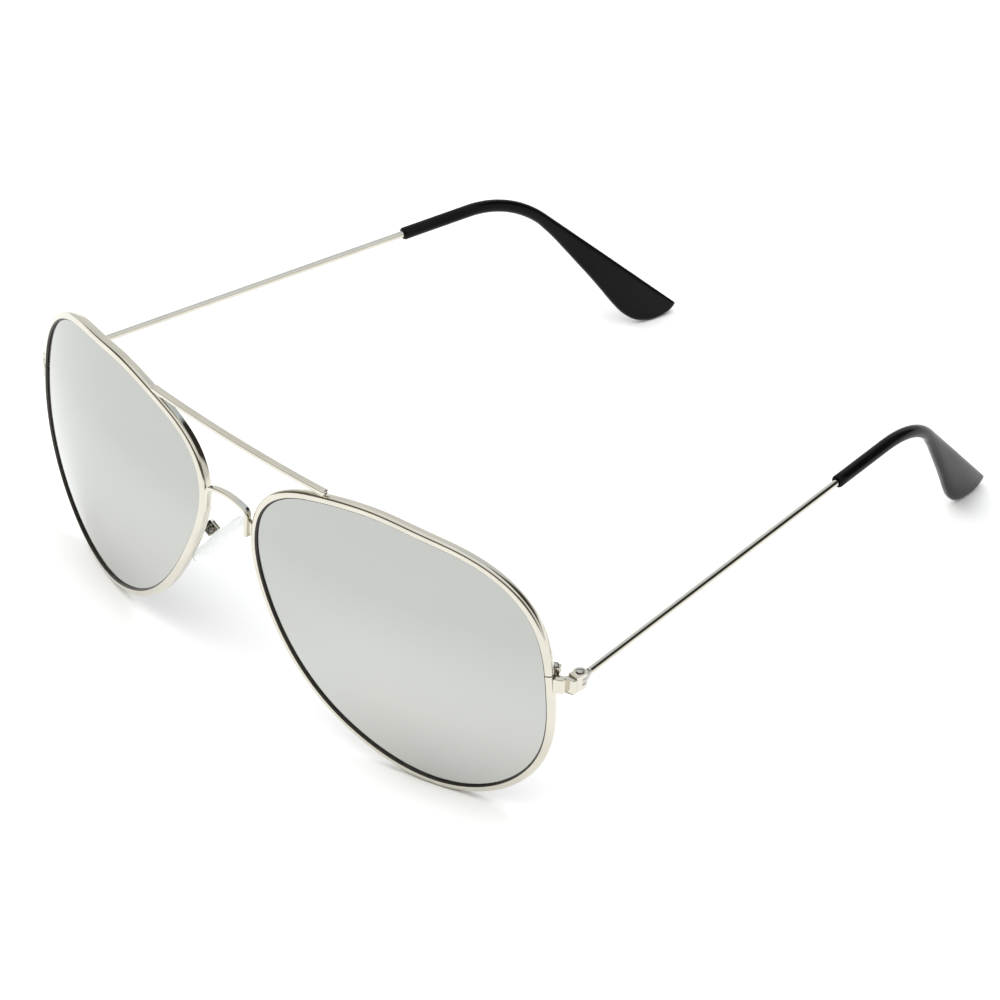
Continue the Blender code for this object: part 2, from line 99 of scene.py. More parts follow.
BAR_HALF_LENGTH = 21.4
BAR_TOP = 50.85
BAR_SAG = 0.4
BAR_BOW = 0.3
BAR_HEIGHT = 0.8
BAR_DEPTH = 1.4
BAR_FRONT = -1.3
BAR_END = 0.35                # reach of its rounded ends
BAR_STEPS = 72
BRIDGE_THICKNESS = 0.75
BRIDGE_DEPTH = 1.25
BRIDGE_FRONT = -3.75
BRIDGE_LEAN = 0.3 / 5.6
BRIDGE_ROUTE = ((5.0, 35.0), (5.0, 36.8), (4.98, 38.4), (4.75, 39.3), (4.1, 39.78), (2.4, 40.2),
                (0.0, 40.42))
BRIDGE_STEPS = 96
STRIP_EDGE = 0.2              # rounding of both strips' long edges

ENDPIECE_BOTTOM = 27.6
ENDPIECE_TOP = 30.4
ENDPIECE_SEAT = 0.1           # how far it starts inside the rim's side
ENDPIECE_REACH = 2.0          # its corner, past the rim's side
ENDPIECE_BEND = 1.0
ENDPIECE_PLATE = 1.3
ENDPIECE_EDGE = 0.3
LEAF_END = 1.8                # from the hinge's axis forwards to the plate's end
LEAF_OUTSIDE = 1.2            # the plate's sides there, from the axis
LEAF_INSIDE = 0.9
LEAF_OUTER_RUN = 0.6          # their straight runs up to the end
LEAF_INNER_RUN = 0.5
LEAF_SPLAY = 0.1

HINGE = Vector((66.1, 15.3, 29.3))
TEMPLE_DIRECTION = Vector((-0.1604, 1.0, 0.0256)).normalized()
TEMPLE_LEAN = 0.21
WIRE_SIDES = 32
WIRE_RADIUS = 0.62
WIRE_START = 2.3
WIRE_ROOT = ((0.0, 0.5), (0.06, 0.58), (0.15, WIRE_RADIUS))
SLEEVE_START = 72.2
SLEEVE_RADIUS = 1.15
SLEEVE_BORE = 0.74
SLEEVE_MOUTH = ((0.0, 0.86), (0.05, 0.98), (0.16, 1.08), (0.34, SLEEVE_RADIUS))
BEND_START = 86.4
BEND_RADIUS = 21.5
BEND_ANGLE = math.radians(45.4)
PADDLE_START = BEND_START + BEND_RADIUS * BEND_ANGLE
# Distance past the bend, width and thickness.
PADDLE_STATIONS = ((0.0, 2.3, 2.3), (4.0, 2.75, 2.3), (8.0, 3.45, 2.25), (12.0, 4.2, 2.2),
                   (16.0, 4.95, 2.2), (20.0, 5.8, 2.2), (24.0, 6.7, 2.2), (27.5, 7.2, 2.2),
                   (30.5, 6.85, 2.1), (33.0, 5.55, 1.9), (34.8, 3.9, 1.7), (35.9, 2.3, 1.4),
                   (36.4, 1.1, 0.9))
PADDLE_NOSE = ((0.08, 0.6, 0.5), (0.11, 0.2, 0.16))
PADDLE_FLATNESS = 0.38        # its section's way from an ellipse to a box
PADDLE_FLAT_FROM = 16.0
CORE_INTO_PADDLE = 16.0
CORE_END_GAP = 0.3

PAD_CENTRE = Vector((9.1, 3.17, 24.65))
PAD_LONG = Vector((-0.41, 0.62, 0.67)).normalized()
PAD_FACE = Vector((-0.76, 0.15, -0.63))
PAD_NORMAL = (PAD_FACE - PAD_LONG * PAD_FACE.dot(PAD_LONG)).normalized()
PAD_ACROSS = PAD_LONG.cross(PAD_NORMAL)
PAD_AXIS = PAD_CENTRE - PAD_NORMAL * 2.0
# Height, half length and half width.
PAD_LUG = ((-2.8, 0.5, 0.3), (-2.72, 0.68, 0.38), (-2.6, 0.75, 0.42), (-1.1, 0.75, 0.42),
           (-1.04, 0.95, 0.6))
PAD_BODY = ((-1.0, 4.1, 2.15), (-0.93, 4.55, 2.4), (-0.74, 5.2, 2.88), (-0.1, 5.85, 3.4),
            (0.5, 5.6, 3.2), (0.85, 4.7, 2.6), (1.0, 3.4, 1.85), (1.06, 1.6, 0.85))
PAD_BODY_STEPS = 28
PAD_SIDES = 56
PAD_TAPER = 0.12              # narrower at its upper end, wider at its lower end
ARM_RADIUS = 0.42
ARM_FOOT = Vector((10.68, -1.35, 25.37))
ARM_FOOT_PULL = Vector((1.76, 2.02, 1.01))
ARM_END = PAD_AXIS - PAD_NORMAL * 1.6
ARM_END_PULL = PAD_NORMAL * -1.48
ARM_STEPS = 40
ARM_SIDES = 20

# Turned screws: height and radius up to the head's top, then the slot's depth and width.
HINGE_SCREW = ((0.0, 0.5), (2.9, 0.5), (2.91, 0.75), (3.02, 0.75), (3.1, 0.66), (3.16, 0.45))
HINGE_SCREW_SLOT = (0.14, 0.2)
HINGE_SCREW_FOOT = HINGE.z - 1.375
LOCK_SCREW = ((0.0, 0.28), (2.44, 0.28), (2.45, 0.62), (2.66, 0.62), (2.78, 0.5), (2.83, 0.3))
LOCK_SCREW_SLOT = (0.14, 0.18)
LOCK_SCREW_FOOT = SPLIT_HEIGHT - 1.6
LOCK_OUT = 1.2                # the lock's screw from the lens's outline
LOCK_BEHIND = 0.85            # and behind the rim
PAD_SCREW = ((0.0, 0.25), (1.96, 0.25), (1.97, 0.42), (2.1, 0.42), (2.18, 0.3))
PAD_SCREW_SLOT = (0.12, 0.14)
PAD_SCREW_FOOT = PAD_AXIS - PAD_ACROSS * 0.95
SCREW_SIDES = 40
SAW_REACH = 1.3               # the saw's half length, in radii of the head
SAW_ABOVE = 0.3

BAR_JOINT = Vector((BAR_HALF_LENGTH - 1.4, BAR_FRONT + BAR_DEPTH / 2, BAR_TOP - BAR_HEIGHT))
BRIDGE_JOINT = Vector((5.3, -3.05, 36.6))
BAR_BEAD = (1.5, 0.34, 0.6)   # half-axes along the joint, towards the rim and across both
BRIDGE_BEAD = (1.7, 0.45, 0.55)
BEAD_STEPS = 12
BEAD_SIDES = 20
RIM_SPOTS = 720               # places tried for the nearest point of the rim

# Rounding of the edges of the CAD shapes that are kept.
SOFT_EDGES = (("rim_lock_upper", 0.14), ("rim_lock_lower", 0.18), ("front_hinge", 0.12),
              ("pad_box", 0.1))
TEMPLE_HINGE_EDGE = 0.12

# The studio: lamps in metres and watts, and the camera at the photo's angle.
LAMPS = (("overhead", (0.1, -0.1, 1.1), 1.6, 9.6), ("fill", (1.0, -0.1, 0.9), 0.6, 1.2),
         ("front_fill", (-1.05, -0.45, 0.7), 1.2, 7.0))
FLOOR_HALF = 2.0
ROOM_STRENGTH = 1.12
BACKDROP = (0.93, 0.93, 0.93)
CAMERA_PLACE = Vector((689.154, -603.012, 637.610))
CAMERA_TURN = (56.809, -1.126, 46.849)
CAMERA_LENS = 236.01

# Darker parts of the room: the light that remains there, then directions with the cosines at
# which the part begins and is full. A part is only as dark as all of its directions agree on.
BACK_LEFT = Vector((0.45, 0.76, 0.45))
OVERHEAD = Vector((-0.05, 0.60, 0.80))
SHADES = (((0.15, 0.13, 0.10), ((UP, 0.02, 0.07), (UP, 0.62, 0.52), (BACK, -0.05, -0.25))),
          ((0.050, 0.043, 0.034),
           ((BACK_LEFT, 0.79, 0.85), (BACK, 0.42, 0.54), (LEFT, 0.68, 0.58))),
          ((0.70, 0.78, 0.88), ((OVERHEAD, 0.86, 0.95),)))


# Shader nodes

def noise(tree, scale, detail=3.0):
    """A noise texture in object space; scale is in features per metre."""
    where = tree.nodes.new("ShaderNodeTexCoord")
    texture = tree.nodes.new("ShaderNodeTexNoise")
    texture.inputs["Scale"].default_value = scale
    texture.inputs["Detail"].default_value = detail
    tree.links.new(where.outputs["Object"], texture.inputs["Vector"])
    return texture.outputs["Fac"]


def ranged(tree, source, start, end, low=0.0, high=1.0):
    """Maps the range from start to end onto the range from low to high."""
    node = tree.nodes.new("ShaderNodeMapRange")
    node.inputs["From Min"].default_value = start
    node.inputs["From Max"].default_value = end
    node.inputs["To Min"].default_value = low
    node.inputs["To Max"].default_value = high
    tree.links.new(source, node.inputs["Value"])
    return node.outputs["Result"]


def ramp(tree, source, start, dark, end, light):
    """A colour that goes from dark at start to light at end."""
    node = tree.nodes.new("ShaderNodeValToRGB")
    for element, place, colour in zip(node.color_ramp.elements, (start, end), (dark, light)):
        element.position = place
        element.color = (*colour, 1)
    tree.links.new(source, node.inputs["Fac"])
    return node.outputs["Color"]


def tint(tree, source, dark, light):
    """A colour between two, over the middle of a noise texture's range."""
    return ramp(tree, source, 0.3, dark, 0.7, light)


def mixed(tree, share, colour, other):
    """Goes from a socket's colour to another colour."""
    node = tree.nodes.new("ShaderNodeMix")
    node.data_type = "RGBA"
    node.inputs["B"].default_value = (*other, 1)
    tree.links.new(share, node.inputs["Factor"])
    tree.links.new(colour, node.inputs["A"])
    return node.outputs["Result"]


def roughen(tree, shader, source, low, high):
    tree.links.new(ranged(tree, source, 0.3, 0.7, low, high), shader.inputs["Roughness"])


def bump(tree, shader, source, distance, strength):
    node = tree.nodes.new("ShaderNodeBump")
    node.inputs["Strength"].default_value = strength
    node.inputs["Distance"].default_value = distance
    tree.links.new(source, node.inputs["Height"])
    tree.links.new(node.outputs["Normal"], shader.inputs["Normal"])


# Materials

def material(name):
    made = bpy.data.materials.new(name)
    made.use_nodes = True
    return made, made.node_tree, made.node_tree.nodes["Principled BSDF"]


def champagne_metal():
    """Polished pale plating with fine handling marks and a slightly warmer tone in places."""
    made, tree, shader = material("champagne_plating")
    shader.inputs["Metallic"].default_value = 1.0
    tone = tint(tree, noise(tree, 180.0), (0.625, 0.598, 0.522), (0.675, 0.650, 0.570))
    tree.links.new(tone, shader.inputs["Base Color"])
    marks = noise(tree, 2600.0, 5.0)
    roughen(tree, shader, marks, 0.05, 0.10)
    bump(tree, shader, marks, 0.000003, 0.3)
    return made


def screw_steel():
    """Brushed grey steel for the screws and the temples' hinge barrels; on the barrels its darker
    grey is partly painted shade for the gaps between them.
    """
    made, tree, shader = material("screw_steel")
    shader.inputs["Metallic"].default_value = 1.0
    grain = noise(tree, 5200.0, 4.0)
    tone = tint(tree, grain, (0.42, 0.41, 0.38), (0.60, 0.59, 0.55))
    tree.links.new(tone, shader.inputs["Base Color"])
    roughen(tree, shader, grain, 0.25, 0.42)
    bump(tree, shader, grain, 0.000008, 0.5)
    return made


def lens_mirror():
    """Silver flash coating, darker towards the top as painted shade, and a little duller at a
    grazing angle.
    """
    made, tree, shader = material("silver_mirror_coating")
    shader.inputs["Metallic"].default_value = 1.0
    where = tree.nodes.new("ShaderNodeTexCoord")
    split = tree.nodes.new("ShaderNodeSeparateXYZ")
    tree.links.new(where.outputs["Object"], split.inputs["Vector"])
    # Painted shade: the coating's colour darkens from the lens's foot towards its top.
    painted_shade_height = ranged(tree, split.outputs["Z"], 0.0, 0.052)
    tone_with_painted_shade = tint(tree, painted_shade_height, (0.552, 0.560, 0.538), (0.450, 0.457, 0.439))
    facing = tree.nodes.new("ShaderNodeLayerWeight")
    facing.inputs["Blend"].default_value = 0.35
    coating = mixed(tree, facing.outputs["Fresnel"], tone_with_painted_shade, (0.32, 0.34, 0.33))
    tree.links.new(coating, shader.inputs["Base Color"])
    roughen(tree, shader, noise(tree, 60.0, 4.0), 0.035, 0.075)
    bump(tree, shader, noise(tree, 34.0, 1.0), 0.00004, 0.25)
    return made


def lens_back():
    """The uncoated rear face: smoke grey plastic."""
    made, tree, shader = material("smoke_lens_back")
    tone = tint(tree, noise(tree, 40.0, 2.0), (0.045, 0.047, 0.046), (0.075, 0.077, 0.072))
    tree.links.new(tone, shader.inputs["Base Color"])
    roughen(tree, shader, noise(tree, 90.0), 0.05, 0.1)
    shader.inputs["Coat Weight"].default_value = 0.5
    shader.inputs["Coat Roughness"].default_value = 0.04
    return made


def tip_plastic():
    """Gloss black cellulose with a faint moulded ripple and fine scuffs."""
    made, tree, shader = material("gloss_black_tip")
    tone = tint(tree, noise(tree, 120.0), (0.002, 0.002, 0.002), (0.005, 0.005, 0.0045))
    tree.links.new(tone, shader.inputs["Base Color"])
    roughen(tree, shader, noise(tree, 900.0, 6.0), 0.07, 0.14)
    bump(tree, shader, noise(tree, 260.0, 2.0), 0.00002, 0.3)
    shader.inputs["Specular IOR Level"].default_value = 0.1
    return made


def pad_silicone():
    """Clear soft silicone with a satin skin, cloudy inside."""
    made, tree, shader = material("clear_silicone")
    tone = tint(tree, noise(tree, 300.0), (0.885, 0.91, 0.895), (0.92, 0.94, 0.925))
    tree.links.new(tone, shader.inputs["Base Color"])
    roughen(tree, shader, noise(tree, 700.0), 0.32, 0.45)
    shader.inputs["Transmission Weight"].default_value = 0.85
    shader.inputs["IOR"].default_value = 1.1
    return made


def painted_shade_bevel():
    """Painted shade: a near-black finish for the bevel and groove between a rim's face and its
    lens.
    """
    made, tree, shader = material("rim_bevel_painted_shade")
    tone = tint(tree, noise(tree, 220.0), (0.010, 0.008, 0.006), (0.028, 0.022, 0.016))
    tree.links.new(tone, shader.inputs["Base Color"])
    roughen(tree, shader, noise(tree, 900.0), 0.3, 0.45)
    return made


def floor_white():
    made, tree, shader = material("pale_floor")
    tone = tint(tree, noise(tree, 6.0), (0.90, 0.90, 0.895), (0.92, 0.92, 0.915))
    tree.links.new(tone, shader.inputs["Base Color"])
    shader.inputs["Roughness"].default_value = 0.85
    return made


METAL = champagne_metal()
STEEL_AND_HINGE_SHADE = screw_steel()
MIRROR = lens_mirror()
SMOKE = lens_back()
PLASTIC = tip_plastic()
SILICONE = pad_silicone()
RIM_PAINTED_SHADE = painted_shade_bevel()


# Making pieces

def side_name(side, name):
    return ("left_" if side > 0 else "right_") + name


def mesh_of(name, shape, side):
    """A mesh from (points, faces) in millimetres, mirrored to -X when side is -1."""
    points, faces = shape
    mesh = bpy.data.meshes.new(name)
    placed = [(Vector((p[0] * side, p[1], p[2])) - FOOTPRINT_MIDDLE) * MM for p in points]
    mesh.from_pydata(placed, [], faces)
    return mesh


def face_outwards(mesh):
    turned = bmesh.new()
    turned.from_mesh(mesh)
    bmesh.ops.recalc_face_normals(turned, faces=turned.faces)
    turned.to_mesh(mesh)
    turned.free()


def piece(name, shape, finish, body, nodes=(), side=1, sharp=SHARP):
    """Makes a closed piece from (points, faces) in millimetres."""
    return dress(name, mesh_of(name, shape, side), finish, body, nodes, sharp)


def dress(name, mesh, finish, body, nodes, sharp):
    face_outwards(mesh)
    mesh.shade_smooth()
    mesh.set_sharp_from_angle(angle=math.radians(sharp))
    mesh.materials.append(finish)
    made = bpy.data.objects.new(name, mesh)
    bpy.context.scene.collection.objects.link(made)
    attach(made, body)
    if nodes:
        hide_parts(*nodes)
    return made


def softened(node, width, finish, body):
    """A CAD node's own shape with its edges rounded over."""
    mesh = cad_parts[node].data.copy()
    clean = bmesh.new()
    clean.from_mesh(mesh)
    bmesh.ops.remove_doubles(clean, verts=clean.verts, dist=1e-6)
    bmesh.ops.dissolve_limit(clean, angle_limit=math.radians(1.5), verts=clean.verts,
                             edges=clean.edges)
    hard = [edge for edge in clean.edges
            if len(edge.link_faces) == 2 and edge.calc_face_angle(0) > math.radians(32)]
    bmesh.ops.bevel(clean, geom=hard, offset=width * MM, segments=3, profile=0.6, affect="EDGES",
                    clamp_overlap=True)
    clean.to_mesh(mesh)
    clean.free()
    mesh.materials.clear()
    return dress(node + "_shaped", mesh, finish, body, (node,), PLATE_SHARP)


def loft(rings):
    """Skins a row of rings with equally many points, and caps both ends."""
    count = len(rings[0])
    points = [p for ring in rings for p in ring]
    faces = []
    for here in range(0, len(points) - count, count):
        there = here + count
        for k in range(count):
            after = (k + 1) % count
            faces.append((here + k, here + after, there + after, there + k))
    faces.append(tuple(range(count)))
    faces.append(tuple(range(len(points) - count, len(points))))
    return points, faces


def circle(centre, first, second, radius, count):
    turns = [2 * math.pi * (i + 0.5) / count for i in range(count)]
    return [centre + first * (radius * math.cos(a)) + second * (radius * math.sin(a))
            for a in turns]


def rounded_section(centre, across, up, width, height):
    """A strip's section: a rectangle with round corners."""
    steps = 4
    ring = []
    for quarter, (sx, sy) in enumerate(((1, 1), (-1, 1), (-1, -1), (1, -1))):
        for i in range(steps + 1):
            turn = math.pi / 2 * (quarter + i / steps)
            x = sx * (width / 2 - STRIP_EDGE) + STRIP_EDGE * math.cos(turn)
            y = sy * (height / 2 - STRIP_EDGE) + STRIP_EDGE * math.sin(turn)
            ring.append(centre + across * x + up * y)
    return ring


def through(points, count):
    """Many points on the smooth curve through a few points (Catmull-Rom, evenly timed)."""
    padded = [points[0] * 2 - points[1]] + list(points) + [points[-1] * 2 - points[-2]]
    spans = len(points) - 1
    made = []
    for i in range(count + 1):
        place = min(i / count * spans, spans - 1e-9)
        k = int(place)
        t = place - k
        a, b, c, d = padded[k:k + 4]
        made.append(0.5 * ((b * 2) + (c - a) * t + (a * 2 - b * 5 + c * 4 - d) * t ** 2
                           + (b * 3 - a - c * 3 + d) * t ** 3))
    return made


def lathe(foot, axis, profile):
    """Turns a profile of (height, radius) about an axis that starts at foot."""
    first = axis.orthogonal().normalized()
    second = axis.cross(first)
    return loft([circle(foot + axis * height, first, second, radius, SCREW_SIDES)
                 for height, radius in profile])


def at_height(place, height):
    return Vector((place.x, place.y, height))


# Lens outline and dished front, as in the CAD part

def outline_bends():
    """Second derivatives of the periodic cubic spline through the radii."""
    count = len(OUTLINE_RADII)
    step = 2 * math.pi / count
    radii = np.array(OUTLINE_RADII)
    system = 4 * np.eye(count) + np.roll(np.eye(count), 1, 0) + np.roll(np.eye(count), -1, 0)
    change = np.roll(radii, -1) - 2 * radii + np.roll(radii, 1)
    return np.linalg.solve(system, 6 * change / step ** 2)


OUTLINE_BENDS = outline_bends()


def outline_radius(angle):
    count = len(OUTLINE_RADII)
    step = 2 * math.pi / count
    place = (angle / step) % count
    i = int(place) % count
    j = (i + 1) % count
    t = place - int(place)
    bend = ((1 - t) ** 3 - (1 - t)) * OUTLINE_BENDS[i] + (t ** 3 - t) * OUTLINE_BENDS[j]
    return (1 - t) * OUTLINE_RADII[i] + t * OUTLINE_RADII[j] + bend * step ** 2 / 6


def outline_point(angle, offset=0.0):
    """A flat point on the outline, or that far outside it."""
    def at(turn):
        radius = outline_radius(turn)
        return Vector((radius * math.cos(turn), radius * math.sin(turn)))
    nudge = 0.01
    ahead = at(angle + nudge) - at(angle - nudge)
    return at(angle) + Vector((ahead.y, -ahead.x)).normalized() * offset + OUTLINE_CENTRE


LENS_AXES = Matrix.Rotation(LENS_TILT, 3, "X") @ Matrix((
    (math.cos(LENS_WRAP), 0, math.sin(LENS_WRAP)),
    (math.sin(LENS_WRAP), 0, -math.cos(LENS_WRAP)),
    (0, 1, 0)))


def dished(flat, depth):
    """Puts a flat point on the lens's sphere; depth is measured forwards from that surface."""
    root = math.sqrt(LENS_SPHERE ** 2 - flat.x ** 2 - flat.y ** 2)
    normal = Vector((flat.x, flat.y, root)) / LENS_SPHERE
    return LENS_PLACE + LENS_AXES @ (Vector((flat.x, flat.y, root - LENS_SPHERE)) + normal * depth)


def rim_angle(height):
    """Where the outline's outer side reaches that height."""
    low, high = -0.5, 0.5
    for _ in range(30):
        middle = (low + high) / 2
        if dished(outline_point(middle), 0.0).z < height:
            low = middle
        else:
            high = middle
    return low


SPLIT_ANGLE = rim_angle(SPLIT_HEIGHT)


def outline_turns(inset=0.0):
    """Angles once round the outline from the rim's split, short of it by the inset at both ends."""
    sweep = 2 * math.pi - 2 * inset
    return [SPLIT_ANGLE + inset + sweep * i / OUTLINE_STEPS for i in range(OUTLINE_STEPS + 1)]


def rim_profile():
    """The rim wire's section: its back, side and front, then its bevel, groove and inner corner."""
    def corner(x, y, radius, start):
        turns = [start + math.pi / 2 * i / RIM_CORNER_STEPS for i in range(RIM_CORNER_STEPS + 1)]
        return [(x + radius * math.cos(a), y + radius * math.sin(a)) for a in turns]

    middle = -RIM_DEPTH / 2
    outside = corner(RIM_WIDTH - RIM_EDGE, RIM_EDGE - RIM_DEPTH, RIM_EDGE, -math.pi / 2)
    outside += corner(RIM_WIDTH - RIM_SHOULDER, -RIM_SHOULDER, RIM_SHOULDER, 0)
    outside.append((LIP_WIDTH + LIP_EDGE, 0.0))
    inside = [(LIP_WIDTH, -LIP_EDGE / 3), (0.0, GROOVE_LIP - LENS_RECESS), (GROOVE_DEPTH, middle),
              (0.0, middle - GROOVE_DEPTH)]
    inside += corner(RIM_EDGE, RIM_EDGE - RIM_DEPTH, RIM_EDGE, math.pi)
    return outside, inside


def rim(side):
    """The grooved wire round a lens, open at its split, with its bevel and groove near-black as
    painted shade.
    """
    outside, inside = rim_profile()
    profile = outside + inside
    inset = SPLIT_GAP / 2 / outline_radius(SPLIT_ANGLE)
    shape = loft([[dished(outline_point(angle, out), depth) for out, depth in profile]
                  for angle in outline_turns(inset)])
    made = piece(side_name(side, "rim_wire"), shape, METAL, "front_frame",
                 (side_name(side, "rim"),), side, RIM_SHARP)
    # The bevel and the groove's flanks take the near-black painted shade.
    made.data.materials.append(RIM_PAINTED_SHADE)
    for face in made.data.polygons:
        past_front = face.index % len(profile) - len(outside)
        face.material_index = 1 if 0 <= past_front < PAINTED_SHADE_FACES else 0


def lens_edge():
    """Offsets and depths round the lens's edge, which steps down from its face into the groove."""
    front = -LENS_RECESS
    back = -(RIM_DEPTH + LENS_THICKNESS) / 2
    middle = -RIM_DEPTH / 2
    flank = GROOVE_DEPTH - SEAT_GAP
    return ((-LENS_INSET, front), (0.0, middle + flank), (GROOVE_DEPTH - 1.4 * SEAT_GAP, middle),
            (-SEAT_GAP, middle - flank), (-SEAT_GAP, back + LENS_CHAMFER),
            (-SEAT_GAP - LENS_CHAMFER, back))


def lens_shape():
    """The dished lens, set back behind the rim's lip."""
    edge = lens_edge()
    turns = outline_turns()[:-1]
    rims = [outline_point(angle, -SEAT_GAP) - OUTLINE_CENTRE for angle in turns]

    def inner_ring(share, depth):
        return [dished(OUTLINE_CENTRE + spoke * share, depth) for spoke in rims]

    front = edge[0][1]
    back = edge[-1][1]
    rings = [inner_ring(share, front) for share in LENS_SHARES]
    rings += [[dished(outline_point(angle, out), depth) for angle in turns] for out, depth in edge]
    rings += [inner_ring(share, back) for share in reversed(LENS_SHARES)]
    points, faces = loft(rings)
    count = len(turns)
    faces = faces[:-2]
    for start, depth in ((0, front), (len(points) - count, back)):
        middle = len(points)
        points.append(dished(OUTLINE_CENTRE, depth))
        faces += [(start + k, start + (k + 1) % count, middle) for k in range(count)]
    return points, faces


def lens(side):
    """A lens whose front face alone is mirrored."""
    made = piece(side_name(side, "lens_blank"), lens_shape(), MIRROR, "front_frame",
                 (side_name(side, "lens"),), side)
    made.data.materials.append(SMOKE)
    front_spans = len(LENS_SHARES)
    middle_of_front = 2 * front_spans + len(lens_edge()) - 1
    for face in made.data.polygons:
        span = face.index // OUTLINE_STEPS
        face.material_index = 0 if span < front_spans or span == middle_of_front else 1


# Endpiece

def lock_directions():
    """Outwards and backwards along the table, where the rim is split."""
    out = dished(outline_point(SPLIT_ANGLE, 1.0), 0.0) - dished(outline_point(SPLIT_ANGLE), 0.0)
    out.z = 0
    out.normalize()
    return out, Vector((-out.y, out.x, 0))


def endpiece_plan():
    """Out along the front from the rim, round the corner and back to the hinge."""
    out, back = lock_directions()
    widest = dished(outline_point(rim_angle(ENDPIECE_BOTTOM)), 0.0)
    seat = widest + out * (RIM_WIDTH - ENDPIECE_SEAT)
    corner = widest + out * (RIM_WIDTH + ENDPIECE_REACH)
    leaf = HINGE.y - LEAF_END
    turns = [math.pi / 2 * i / 6 for i in range(7)]
    rounded = [corner - out * (ENDPIECE_BEND - ENDPIECE_BEND * math.sin(a))
               + back * (ENDPIECE_BEND - ENDPIECE_BEND * math.cos(a)) for a in turns]
    return [seat, *rounded,
            Vector((HINGE.x + LEAF_OUTSIDE, leaf - LEAF_OUTER_RUN, 0)),
            Vector((HINGE.x + LEAF_OUTSIDE, leaf, 0)),
            Vector((HINGE.x - LEAF_INSIDE, leaf, 0)),
            Vector((HINGE.x - LEAF_INSIDE - LEAF_SPLAY, leaf - LEAF_INNER_RUN, 0)),
            seat + back * ENDPIECE_PLATE]


def endpiece_shape():
    """The bent plate from the rim to the hinge, with soft long edges."""
    plan = endpiece_plan()
    middle = sum(plan, Vector()) / len(plan)
    levels = [(ENDPIECE_BOTTOM + ENDPIECE_EDGE * (1 - math.sin(turn)),
               ENDPIECE_EDGE * (1 - math.cos(turn))) for turn in (math.pi / 2, 1.2, 0.8, 0.4, 0.0)]
    levels += [(ENDPIECE_BOTTOM + ENDPIECE_TOP - height, inset)
               for height, inset in reversed(levels)]
    rings = []
    for height, inset in levels:
        ring = []
        for p in plan:
            inward = middle - p
            inward.z = 0
            ring.append(at_height(p + inward.normalized() * inset, height))
        rings.append(ring)
    return loft(rings)


# Bridges

def with_round_ends(rings, along, reach):
    """Adds shrinking rings to both ends of a bar, so that it ends rounded."""
    ends = []
    for ring, heading in ((rings[0], -along), (rings[-1], along)):
        middle = sum(ring, Vector()) / len(ring)
        ends.append([[middle + (p - middle) * math.cos(turn) + heading * (reach * math.sin(turn))
                      for p in ring] for turn in (0.35, 0.7, 1.0, 1.25)])
    return loft(list(reversed(ends[0])) + rings + ends[1])


def brow_bar_shape():
    rings = []
    for i in range(BAR_STEPS + 1):
        share = 2 * i / BAR_STEPS - 1
        bow = 1 - share ** 2
        centre = Vector((BAR_HALF_LENGTH * share, BAR_FRONT + BAR_DEPTH / 2 - BAR_BOW * bow,
                         BAR_TOP - BAR_HEIGHT / 2 - BAR_SAG * bow))
        rings.append(rounded_section(centre, BACK, UP, BAR_DEPTH, BAR_HEIGHT))
    return with_round_ends(rings, LEFT, BAR_END)


def bridge_shape():
    half = [Vector((x, 0, z)) for x, z in BRIDGE_ROUTE]
    route = through(half + [Vector((-p.x, 0, p.z)) for p in reversed(half[:-1])], BRIDGE_STEPS)
    rings = []
    for i, place in enumerate(route):
        ahead = route[min(i + 1, len(route) - 1)] - route[max(i - 1, 0)]
        outward = ahead.normalized().cross(BACK)
        front = BRIDGE_FRONT + BRIDGE_LEAN * (place.z - route[0].z)
        centre = place + BACK * (front + BRIDGE_DEPTH / 2)
        rings.append(rounded_section(centre, BACK, outward, BRIDGE_DEPTH, BRIDGE_THICKNESS))
    return loft(rings)


# Temples

def temple_axes():
    up = Vector((TEMPLE_LEAN, 0, 1))
    up = (up - TEMPLE_DIRECTION * up.dot(TEMPLE_DIRECTION)).normalized()
    return TEMPLE_DIRECTION, up, TEMPLE_DIRECTION.cross(up)


def spine(distance):
    """Centre of the temple's wire and its direction, that far along from the hinge."""
    along, up, _ = temple_axes()
    place = HINGE + along * min(distance, BEND_START)
    turn = min(max(distance - BEND_START, 0) / BEND_RADIUS, BEND_ANGLE)
    place = (place + along * (BEND_RADIUS * math.sin(turn))
             - up * (BEND_RADIUS * (1 - math.cos(turn))))
    heading = along * math.cos(turn) - up * math.sin(turn)
    past = max(distance - BEND_START - BEND_RADIUS * BEND_ANGLE, 0)
    return place + heading * past, heading


def spine_ring(distance, radius):
    _, _, sideways = temple_axes()
    place, heading = spine(distance)
    return circle(place, sideways, sideways.cross(heading), radius, WIRE_SIDES)


def stations(start, end, step):
    count = max(2, round((end - start) / step))
    return [start + (end - start) * i / count for i in range(count + 1)]


def wire_shape():
    run = stations(WIRE_START + 0.3, BEND_START, 6.0) + stations(BEND_START + 1, PADDLE_START, 1.2)
    run.append(PADDLE_START + CORE_INTO_PADDLE)
    root = [spine_ring(WIRE_START + distance, radius) for distance, radius in WIRE_ROOT]
    return loft(root + [spine_ring(distance, WIRE_RADIUS) for distance in run])


def paddle_section(past):
    """Width and thickness of the tip that far past its bend, on a smooth curve."""
    table = [Vector(station) for station in PADDLE_STATIONS]
    for k in range(len(table) - 1):
        if past <= table[k + 1].x or k == len(table) - 2:
            break
    before, a = table[max(k - 1, 0)], table[k]
    b, after = table[k + 1], table[min(k + 2, len(table) - 1)]
    span = b.x - a.x
    t = (past - a.x) / span
    values = []
    for c in (1, 2):
        slope_a = (b[c] - before[c]) / (b.x - before.x) * span
        slope_b = (after[c] - a[c]) / (after.x - a.x) * span
        values.append((2 * t ** 3 - 3 * t ** 2 + 1) * a[c] + (t ** 3 - 2 * t ** 2 + t) * slope_a
                      + (3 * t ** 2 - 2 * t ** 3) * b[c] + (t ** 3 - t ** 2) * slope_b)
    return values


